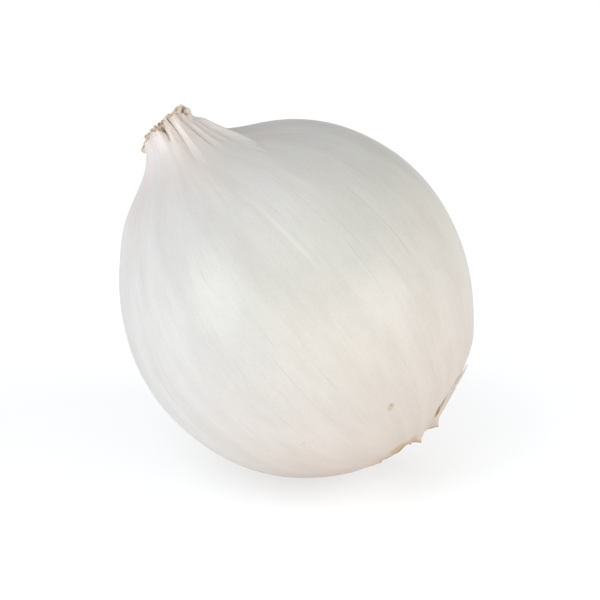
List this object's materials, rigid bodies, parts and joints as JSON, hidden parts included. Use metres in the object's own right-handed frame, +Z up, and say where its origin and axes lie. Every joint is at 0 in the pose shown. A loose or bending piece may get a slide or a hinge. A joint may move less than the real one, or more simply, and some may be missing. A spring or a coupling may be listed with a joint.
{
  "type": "onion",
  "caption": "Whole white onion lying tilted on its side, with dry papery skin, a gathered neck cut short and a dried root plate.",
  "frame": {"origin": "middle of the small flat spot that the onion rests on", "axes": "+Z up; the axis from root end to neck leans 39 degrees from upright towards -X, so the neck points up and to -X and the root end down and to +X; the XZ plane is the plane of the lean"},
  "size_m": [0.0875, 0.0851, 0.0891],
  "materials": {
    "skin": "satin, dry papery skin",
    "dry_leaf": "matte, dried leaf",
    "dry_root": "matte, dried root"
  },
  "bodies": {
    "root": {"bulb": "skin", "dry_leaf_stub": "dry_leaf", "root_plate": "dry_root"}
  },
  "joints": []
}
